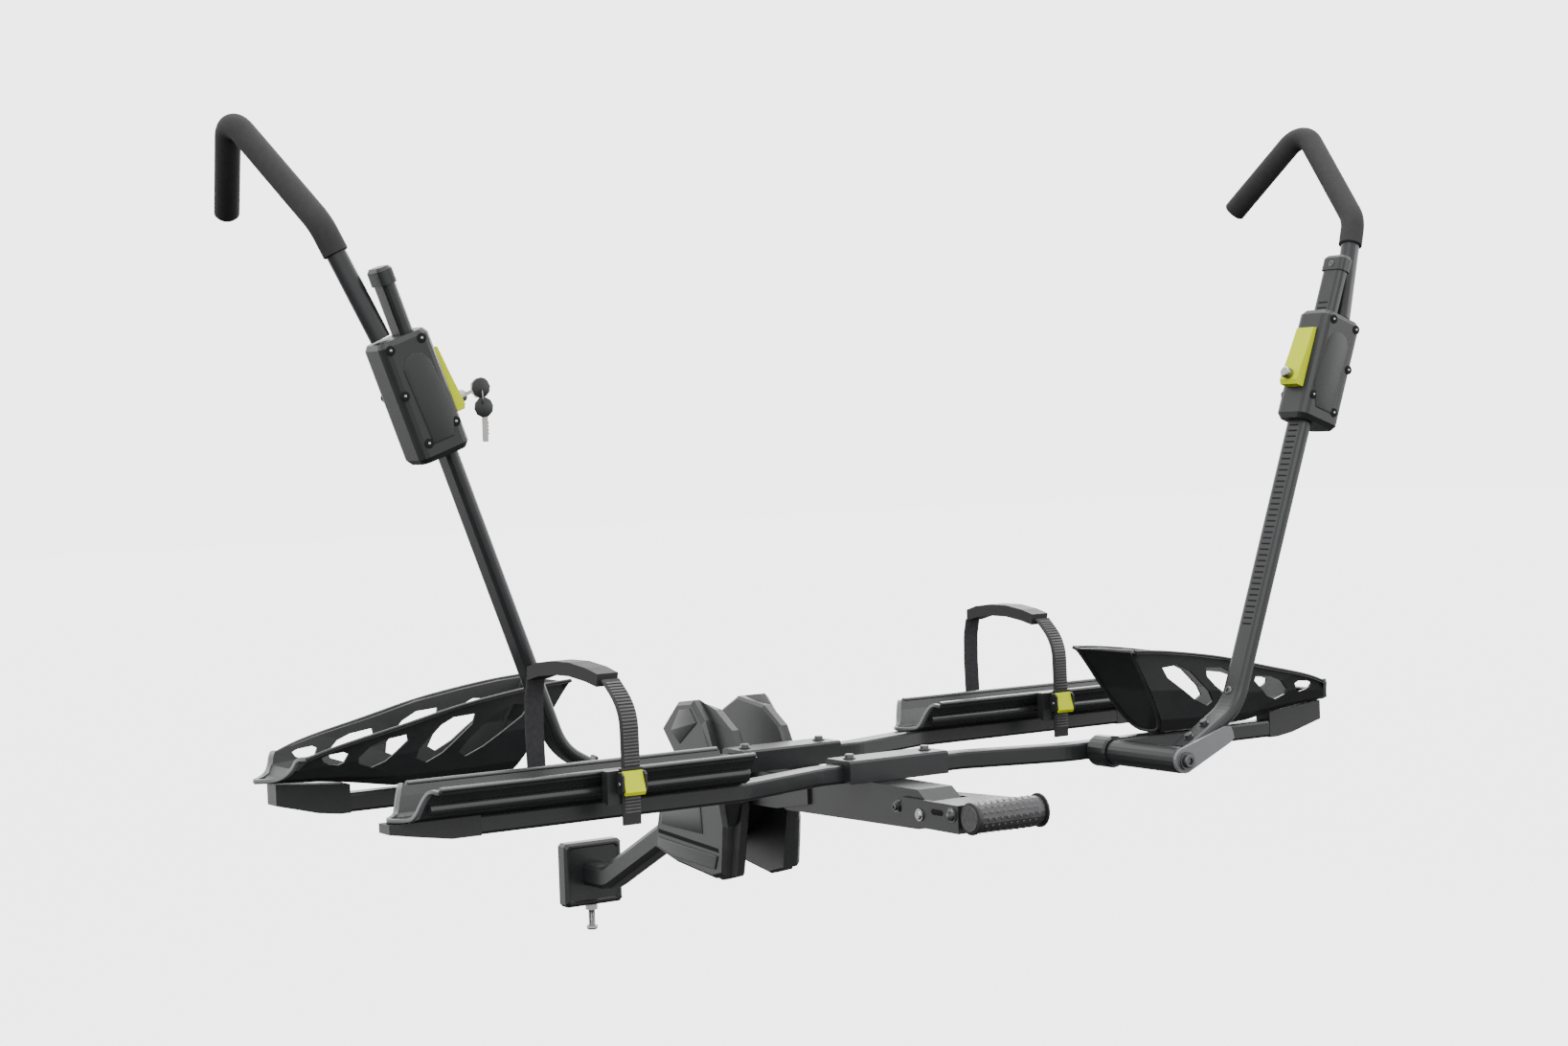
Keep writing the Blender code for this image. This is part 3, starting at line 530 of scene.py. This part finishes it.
STRAP_X, STRAP_STEP = -0.465, 0.930
STRAP_NEAR_Y = 0.070                 # near side of the strap, from the middle of the tray
LEAN, LEAN_SHIFT = 0.30, 0.010       # the loop slants across the tray
STRAP_PATH = ((-STRAP_NEAR_Y, -0.026), (-0.071, 0.050), (-0.070, 0.118), (-0.0425, 0.1520))
STRAP_BENDS = (0, 0.12, 0.070, 0)
RIB_PITCH, RIB_START, RIB_END, RIB_RISE = 0.0042, 0.016, 0.002, 0.0022
RIB_HALF = (0.0108, 0.0011, 0.0007)
BUCKLE_LOW, BUCKLE_HIGH = 0.008, 0.048     # no ribs behind the buckle
BUCKLE_X = STRAP_X + 0.008
BUCKLE_PIN = [(0, 0.0026), (0.0016, 0.0026), (0.0022, 0.0018)]


def leaning(bm):
    for v in bm.verts:
        v.co.x += LEAN_SHIFT - LEAN * (v.co.y + BEAM_Y + STRAP_NEAR_Y)
    return bm


def strap_ribs(end):
    """Cross ribs on the near side of the ladder strap."""
    path = rounded([(STRAP_X, y - BEAM_Y, z) for y, z in STRAP_PATH], STRAP_BENDS)
    bm = bmesh.new()
    for at, ahead in walk(path, RIB_PITCH, RIB_START, RIB_END):
        if BUCKLE_LOW < at.z < BUCKLE_HIGH:
            continue
        outward = ahead.cross(Vector((1, 0, 0)))
        if outward.y > 0:
            outward = -outward
        block(bm, at + outward * RIB_RISE, ((1, 0, 0), ahead, outward), RIB_HALF)
    bm = shifted(leaning(bm), STRAP_STEP, end == "rear")
    piece(f"strap_ribs_{end}", bm, "rubber_edge", f"strap_{end}")


def buckle(end):
    """Two cheeks, a bridge and the pins of the lever, on the near side of the tray."""
    rear, body = end == "rear", f"strap_{end}"
    bm = bmesh.new()
    for side in (-1, 1):
        block(bm, (BUCKLE_X + side * 0.0162, -BEAM_Y - 0.0775, 0.0270),
              ((0, 1, 0), (0, 0, 1), (1, 0, 0)), (0.0075, 0.0135, 0.0016), 0.5)
    block(bm, (BUCKLE_X, -BEAM_Y - 0.0750, 0.0440), ((1, 0, 0), (0, 1, 0), (0, 0, 1)),
          (0.0165, 0.0022, 0.0016), 0.5)
    bm = shifted(bm, STRAP_STEP, rear)
    piece(f"buckle_frame_{end}", bm, "moulded_plastic", body, 0.0005)

    bm = bmesh.new()
    for side in (-1, 1):
        turned(bm, (BUCKLE_X + side * 0.0172, -BEAM_Y - 0.0780, 0.0260), (side, 0, 0), BUCKLE_PIN, 14)
    piece(f"buckle_pins_{end}", shifted(bm, STRAP_STEP, rear), "zinc", body)


# ---------------------------------------------------------------- trays and baskets

TRAY_RIM_X, TRAY_NOSE_X, TRAY_IN_X, TRAY_STEP = -0.705, -0.752, -0.256, 0.968
TRAY_HALF_W, TRAY_H, TRAY_BASE = 0.050, 0.037, 0.0033
# Half sections as (share of the half width, share of the height)
TRAY_SECTION = ((0.0, 0.0), (0.40, 0.0), (0.56, 0.10), (0.70, 0.62), (0.84, 0.96), (1.0, 0.90))
BASKET_SECTION = ((0.0, 0.0), (0.34, 0.02), (0.56, 0.16), (0.74, 0.52), (0.85, 0.98), (1.0, 1.0))
# Basket rim as (x, z, half width)
BASKET_RIM = ((0.365, 0.127, 0.068), (0.410, 0.124, 0.068), (0.465, 0.117, 0.068),
              (0.535, 0.106, 0.067), (0.605, 0.089, 0.065), (0.680, 0.073, 0.062),
              (0.715, 0.064, 0.058), (0.742, 0.055, 0.052))


def whole(section):
    """A half section run from rim to rim."""
    return [(-a, b) for a, b in section[:0:-1]] + list(section)


def tray_rims(end):
    """Rolled rims along the top of a tray and beads lower on its walls."""
    bm = bmesh.new()
    for side in (-1, 1):
        for y, z, start, stop, half_a, half_b in (
                (0.0462, 0.0392, TRAY_RIM_X + 0.003, TRAY_IN_X - 0.002, 0.0034, 0.0052),
                (0.0385, 0.0160, TRAY_RIM_X - 0.008, TRAY_IN_X - 0.006, 0.0060, 0.0045)):
            path = [Vector((x, -BEAM_Y + side * y, z)) for x in (start, stop)]
            swept(bm, path, (0, 1, 0), half_a, half_b, 16)
    bm = shifted(bm, TRAY_STEP, end == "rear")
    piece(f"tray_rims_{end}", bm, "tray_coat", "carrier", 0, 60)


def tray_lip(end):
    """Edge round the pointed outer end of a tray, in a lighter grey that paints a highlight along it."""
    path = []
    for a, b in whole(TRAY_SECTION):
        x = TRAY_RIM_X + (TRAY_NOSE_X - TRAY_RIM_X) * (1 - abs(a)) - 0.0006
        path.append(Vector((x, -BEAM_Y + a * TRAY_HALF_W, TRAY_BASE + b * TRAY_H + 0.0002)))
    bm = bmesh.new()
    swept(bm, smooth_path(path), (1, 0, 0), 0.0026, 0.0030, 12, 0.6)
    bm = shifted(bm, TRAY_STEP, end == "rear")
    piece(f"tray_lip_{end}", bm, "edge_highlight", "carrier", 0, 60)


def basket_edge(x_floor, x_rim, floor, rim, half, push):
    """Path round one open end of a basket, rim to rim; push sends its middle out."""
    path = []
    for a, b in whole(BASKET_SECTION):
        x = x_floor + b * (x_rim - x_floor) + push * (1 - abs(a))
        path.append(Vector((x, -BEAM_Y + a * half, floor + b * (rim - floor))))
    return smooth_path(path)


def basket_details(end):
    """Rolled rims and the edges of the outer and inner ends of a basket; the outer end's edge is lighter
    grey, a painted highlight.
    """
    rear = end == "rear"
    bm = bmesh.new()
    for side in (-1, 1):
        path = [Vector((x, -BEAM_Y + side * (half - 0.0012), z - 0.0004)) for x, z, half in BASKET_RIM]
        swept(bm, smooth_path(path), (0, 1, 0), 0.0022, 0.0030, 12)
    piece(f"basket_rims_{end}", mirrored(bm, rear), "moulded_plastic", "carrier", 0, 60)

    # The nose lip is lighter grey: a painted highlight along the basket's outer end
    bm = bmesh.new()
    path = basket_edge(0.7385, 0.7425, 0.0265, 0.055, 0.052, 0.057)
    swept(bm, path, (1, 0, 0), 0.0030, 0.0034, 12, 0.6)
    piece(f"basket_nose_lip_{end}", mirrored(bm, rear), "edge_highlight", "carrier", 0, 60)

    bm = bmesh.new()
    path = basket_edge(0.446, 0.367, 0.0035, 0.126, 0.068, 0.0)
    swept(bm, path, (1, 0, 0), 0.0022, 0.0040, 12, 0.6)
    piece(f"basket_end_lip_{end}", mirrored(bm, rear), "moulded_plastic", "carrier", 0, 60)


# ---------------------------------------------------------------- pivot covers, handle, hitch

COVER_X = 0.0680                 # outer face of a cover
COVER_SUNK = COVER_X - 0.001
# Raised bands as (rise, outline of y and z)
COVER_BANDS = (
    (0.0022, ((0.372, -0.150), (0.206, -0.160), (0.214, -0.180), (0.330, -0.1745), (0.374, -0.164))),
    (0.0016, ((0.360, -0.094), (0.250, -0.092), (0.246, -0.132), (0.364, -0.130))),
    (0.0014, ((0.300, 0.046), (0.270, 0.050), (0.252, 0.030), (0.302, -0.004), (0.326, 0.014))))
# Groove across a cover as (y, z), drawn as a near-black strip of painted shade
COVER_GROOVE = ((0.374, -0.1375), (0.204, -0.1490), (0.202, -0.1550), (0.374, -0.1435))
# Opening on the front corner of a cover as (x, y, z), drawn as a near-black sheet of painted shade
COVER_OPENING = ((0.0600, 0.1850, -0.1160), (0.0535, 0.1768, -0.1100), (0.0500, 0.1672, -0.0800),
                 (0.0600, 0.1925, -0.0830))


def plate(bm, side, outline, high, shrink=0.94):
    """A flat raised shape on the outer face of a pivot cover."""
    mid = Vector((sum(y for y, _ in outline) / len(outline), sum(z for _, z in outline) / len(outline)))
    loft(bm, [[Vector((side * x, mid.x + (y - mid.x) * scale, mid.y + (z - mid.y) * scale))
               for y, z in outline]
              for x, scale in ((COVER_SUNK, 1.0), (high - 0.0006, 1.0), (high, shrink))])


def cover_details(side, label):
    bands, dark = bmesh.new(), bmesh.new()
    for rise, outline in COVER_BANDS:
        plate(bands, side, outline, COVER_X + rise)
    # The groove and the opening are near-black pieces: painted shade laid on the cover's face
    plate(dark, side, COVER_GROOVE, COVER_X + 0.0003, 0.99)
    loft(dark, [[Vector((side * x, y - depth, z)) for x, y, z in COVER_OPENING]
                for depth in (-0.0004, 0.0008)])
    piece(f"cover_bands_{label}", bands, "shell_plastic", "carrier", 0.0010)
    piece(f"cover_recess_shade_{label}", dark, "painted_shade", "carrier")


STUD = [(0, 0.0021), (0.0006, 0.0016), (0.0006, 0.0009), (0.0003, 0.0007)]
STUD_ROWS, STUDS = 14, 9


def grip_collars():
    """A collar on one end of the handle grip and a flange on the other."""
    low, high = rack_box("handle_grip")
    mid, radius = (low + high) / 2, (high.z - low.z) / 2
    bm = bmesh.new()
    turned(bm, (low.x + 0.001, mid.y, mid.z), (1, 0, 0),
           [(0, radius * 0.92), (0.0012, radius * 1.03), (0.0050, radius * 1.03),
            (0.0070, radius * 0.97)], 32)
    turned(bm, (high.x - 0.0045, mid.y, mid.z), (1, 0, 0),
           [(0, radius * 0.97), (0.0006, radius * 1.10), (0.0030, radius * 1.10),
            (0.0042, radius)], 32)
    piece("grip_collars", bm, "rubber", "handle", 0, 60)


def grip_studs():
    """Staggered rows of dished studs round the handle grip."""
    low, high = rack_box("handle_grip")
    mid, radius = (low + high) / 2, (high.z - low.z) / 2
    first, last = low.x + 0.014, high.x - 0.012
    bm = bmesh.new()
    for row in range(STUD_ROWS):
        angle = 2 * math.pi * row / STUD_ROWS
        out = Vector((0, math.cos(angle), math.sin(angle)))
        for i in range(STUDS):
            share = (i + (0.5 if row % 2 else 0.0)) / STUDS
            at = Vector((first + (last - first) * share, mid.y, mid.z)) + out * (radius - 0.0002)
            turned(bm, at, out, STUD, 8)
    piece("grip_studs", bm, "rubber_edge", "handle", 0, 50)


SIDE_BOLT_YZ, LATCH_SLOT_YZ, SPINE_NUT_YZ = (-0.3160, -0.0500), (-0.2840, -0.0500), (-0.1930, -0.0520)
SIDE_BOLT = [(0, 0.0098), (0.0012, 0.0098), (0.0013, 0.0080), (0.0040, 0.0072), (0.0058, 0.0040)]
NUT = [(0, 0.0100), (0.0010, 0.0100), (0.0011, 0.0078), (0.0062, 0.0078)]
BOLT_TIP = [(0, 0.0044), (0.0040, 0.0044), (0.0046, 0.0038), (0.0046, 0.0024), (0.0026, 0.0022)]


def handle_details():
    """Fasteners and latch slots on the flanks of the handle frame and the spine; the slots are near-black
    blocks of painted shade.
    """
    frame_x, spine_x = -rack_box("handle_frame")[0].x, -rack_box("spine")[0].x
    outward = (-1, 0, 0)
    bolts, slots, nuts = bmesh.new(), bmesh.new(), bmesh.new()
    turned(bolts, (-frame_x, *SIDE_BOLT_YZ), outward, SIDE_BOLT, 24)
    for side in (-1, 1):
        block(slots, (side * frame_x, *LATCH_SLOT_YZ), ((0, 1, 0), (0, 0, 1), (side, 0, 0)),
              (0.0130, 0.0038, 0.0006), 0.8)
    turned(nuts, (-spine_x, *SPINE_NUT_YZ), outward, NUT, 6)
    turned(nuts, (-spine_x - 0.0050, *SPINE_NUT_YZ), outward, BOLT_TIP, 16)
    piece("handle_side_bolts", bolts, "black_bolt", "handle")
    piece("handle_slot_shade", slots, "painted_shade", "handle")
    piece("spine_nuts", nuts, "black_bolt", "carrier")


THREAD_LENGTH, THREAD_PITCH = 0.0245, 0.0018
THREAD_ROOT_R, THREAD_CREST_R = 0.0051, 0.0057


def hitch_details():
    """Thread on the clamp bolt under the plate."""
    low, high = rack_box("hitch_bolt")
    mid = (low + high) / 2
    profile, run = [], 0.0
    while run < THREAD_LENGTH:
        profile += [(run, THREAD_ROOT_R), (run + THREAD_PITCH / 2, THREAD_CREST_R)]
        run += THREAD_PITCH
    bm = bmesh.new()
    turned(bm, (mid.x, mid.y, high.z - 0.0342), (0, 0, 1), profile, 18)
    piece("bolt_thread", bm, "zinc", "hitch", 0, 60)


for end in ENDS:
    for build in (ratchet_slot_shade, arm_screws, pivot_fasteners, housing_screws, housing_fields, cap_screw,
                  hook, strap_ribs, buckle, tray_rims, tray_lip, basket_details):
        build(end)
for side, label in ((-1, "left"), (1, "right")):
    cover_details(side, label)
grip_collars()
grip_studs()
key_details()
handle_details()
hitch_details()


# ---------------------------------------------------------------- stage

SKY = 4.0            # strength of the white seen behind the rack
BELOW = 0.05         # share of it that comes from under the horizon
FLOOR_GLOW = 0.93    # share that makes the floor look as bright as the sky
FLOOR_Z, FLOOR_SIZE = -0.62, 60
FLOOR_COLOUR = (0.06, 0.06, 0.06)


def make_floor():
    """A pale floor that glows like the sky and lights nothing."""
    bpy.ops.mesh.primitive_plane_add(size=FLOOR_SIZE, location=(0, 0, FLOOR_Z))
    floor = bpy.context.object
    floor.name = "floor"
    mat = new_material("floor_white", FLOOR_COLOUR, 0.9, spec=0.1)
    vary(mat, 3, 0.05, FLOOR_COLOUR)
    shader = mat.node_tree.nodes["Principled BSDF"]
    shader.inputs["Emission Color"].default_value = (1, 1, 1, 1)
    shader.inputs["Emission Strength"].default_value = SKY * FLOOR_GLOW
    floor.data.materials.append(mat)
    floor.visible_diffuse = False
    floor.visible_glossy = False


def make_world():
    """White sky that fades out below the horizon."""
    world = bpy.data.worlds.new("studio")
    world.use_nodes = True
    tree = world.node_tree
    back = tree.nodes["Background"]
    coords = tree.nodes.new("ShaderNodeTexCoord")
    split = tree.nodes.new("ShaderNodeSeparateXYZ")
    ramp = tree.nodes.new("ShaderNodeMapRange")
    ramp.inputs["From Min"].default_value = -0.35
    ramp.inputs["From Max"].default_value = -0.05
    ramp.inputs["To Min"].default_value = SKY * BELOW
    ramp.inputs["To Max"].default_value = SKY
    tree.links.new(coords.outputs["Generated"], split.inputs["Vector"])
    tree.links.new(split.outputs["Z"], ramp.inputs["Value"])
    tree.links.new(ramp.outputs["Result"], back.inputs["Strength"])
    back.inputs["Color"].default_value = (1, 1, 1, 1)
    bpy.context.scene.world = world


def area_light(name, location, target, size, power):
    light = bpy.data.lights.new(name, "AREA")
    light.shape = "RECTANGLE"
    light.size, light.size_y = size
    light.energy = power
    obj = bpy.data.objects.new(name, light)
    obj.location = location
    obj.rotation_mode = "QUATERNION"
    obj.rotation_quaternion = (Vector(target) - Vector(location)).to_track_quat("-Z", "Y")
    bpy.context.scene.collection.objects.link(obj)


def make_lights():
    area_light("key_light", (-3.0, -3.2, 3.6), (0, -0.7, 0.4), (2.4, 2.4), 225)
    area_light("top_light", (0.6, -0.8, 3.4), (0, -0.7, 0.2), (3.0, 2.0), 120)
    area_light("rim_light", (2.8, 1.6, 2.2), (0, -0.7, 0.5), (1.6, 2.0), 90)
    area_light("side_light", (3.4, -3.0, 1.6), (0.2, -0.8, 0.5), (1.6, 2.2), 60)


CAMERA_AT = Vector((-2.095, -3.0833, 0.4570))
CAMERA_YAW, CAMERA_PITCH, CAMERA_ROLL = 0.58116, -0.03572, -0.03356
LENS = 61.6


def make_camera():
    """The photo's view: yaw from +Y towards +X, pitch up, roll about the view."""
    data = bpy.data.cameras.new("camera")
    data.sensor_width = 36.0
    data.lens = LENS
    data.clip_end = 100
    cam = bpy.data.objects.new("camera", data)
    bpy.context.scene.collection.objects.link(cam)
    yaw, pitch, roll = CAMERA_YAW, CAMERA_PITCH, CAMERA_ROLL
    forward = Vector((math.sin(yaw) * math.cos(pitch), math.cos(yaw) * math.cos(pitch), math.sin(pitch)))
    right = Vector((math.cos(yaw), -math.sin(yaw), 0))
    up = right.cross(forward)
    right, up = (right * math.cos(roll) + up * math.sin(roll),
                 -right * math.sin(roll) + up * math.cos(roll))
    turn = Matrix((right, up, -forward)).transposed()
    cam.rotation_mode = "QUATERNION"
    cam.rotation_quaternion = turn.to_quaternion()
    cam.location = CAMERA_AT + RACK
    bpy.context.scene.camera = cam


make_floor()
make_world()
make_lights()
make_camera()
